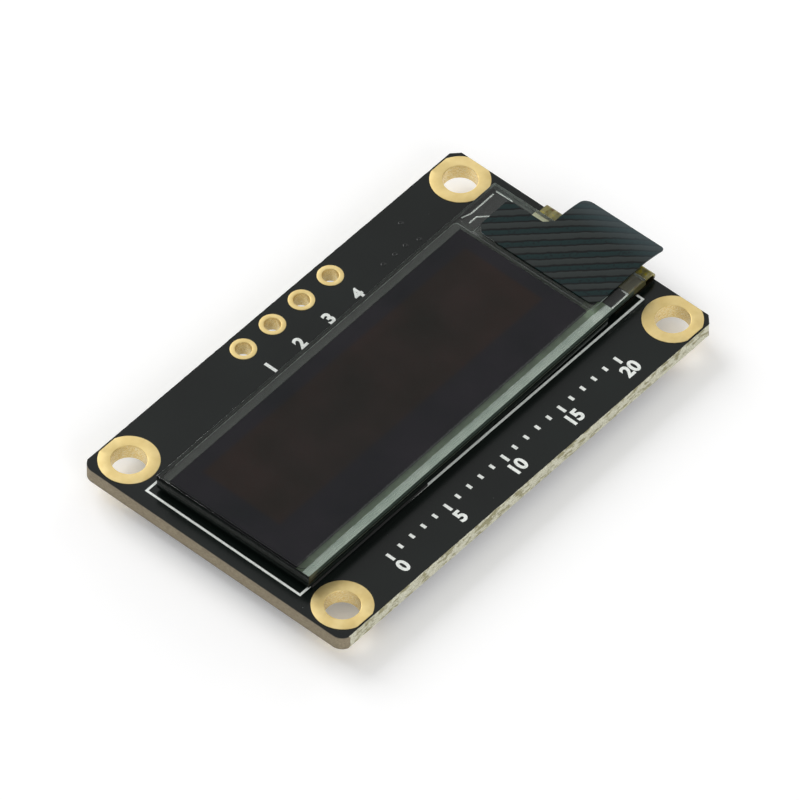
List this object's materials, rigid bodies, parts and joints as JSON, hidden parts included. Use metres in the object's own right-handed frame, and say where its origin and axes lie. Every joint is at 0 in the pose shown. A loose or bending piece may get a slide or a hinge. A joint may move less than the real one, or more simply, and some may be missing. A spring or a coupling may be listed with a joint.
{
  "type": "small oled display module",
  "caption": "Small OLED display module: a thin glass panel taped to a black circuit board, with a folded flex cable, a pull tab, plated mounting holes and header holes.",
  "frame": {"origin": "centre of the mounting-hole pattern, on the underside of the circuit board", "axes": "+X along the board towards the folded flex cable, +Y towards the header holes, +Z out of the display's face"},
  "size_m": [0.0343, 0.02, 0.0036],
  "materials": {
    "circuit_board": "matt black solder mask on glass-epoxy laminate",
    "gold_plating": "satin gold flash over nickel and copper",
    "white_ink": "printed epoxy ink",
    "foam_tape": "black double-sided tape",
    "panel_glass": "polished sheet glass with cut edges",
    "drying_sheet": "chalky getter sheet",
    "seal_epoxy": "cured glue line",
    "emitter": "evaporated metal cathode behind thin organic layers",
    "track_metal": "sputtered metal tracks",
    "bonding_film": "conductive adhesive film",
    "silicon": "ground back of a bare chip",
    "polarizer": "dark circular polarizer",
    "clear_film": "clear protective film",
    "striped_film": "grey film with printed dark diagonal stripes",
    "polyimide": "amber film over copper",
    "solder": "reflowed tin solder",
    "capacitor_ceramic": "sintered ceramic with tinned ends",
    "resistor_ceramic": "glazed black top with tinned ends",
    "moulded_epoxy": "moulded epoxy package",
    "tinned_copper": "tin plated leads"
  },
  "bodies": {
    "root": {"printed_board": "circuit_board", "mounting_ring_1": "gold_plating", "mounting_ring_2": "gold_plating", "mounting_ring_3": "gold_plating", "mounting_ring_4": "gold_plating", "header_ring_1": "gold_plating", "header_ring_2": "gold_plating", "header_ring_3": "gold_plating", "header_ring_4": "gold_plating", "panel_outline_print": "white_ink", "scale_print": "white_ink", "mounting_tape": "foam_tape", "rear_glass": "panel_glass", "drying_sheet": "drying_sheet", "panel_seal": "seal_epoxy", "emitter_layers": "emitter", "ledge_tracks": "track_metal", "chip_bond": "bonding_film", "driver_chip": "silicon", "cable_bond": "bonding_film", "front_glass": "panel_glass", "polarizer": "polarizer", "protective_film": "clear_film", "pull_tab": "striped_film", "flex_cable": "polyimide", "cable_pads": "gold_plating", "cable_solder": "solder", "large_capacitor_1": "capacitor_ceramic", "large_capacitor_2": "capacitor_ceramic", "large_capacitor_3": "capacitor_ceramic", "small_capacitor_1": "capacitor_ceramic", "small_capacitor_2": "capacitor_ceramic", "small_capacitor_3": "capacitor_ceramic", "small_capacitor_4": "capacitor_ceramic", "resistor_1": "resistor_ceramic", "resistor_2": "resistor_ceramic", "resistor_3": "resistor_ceramic", "resistor_4": "resistor_ceramic", "resistor_5": "resistor_ceramic", "regulator_body": "moulded_epoxy", "regulator_leads": "tinned_copper", "part_pads": "solder", "part_solder": "solder"}
  },
  "joints": []
}
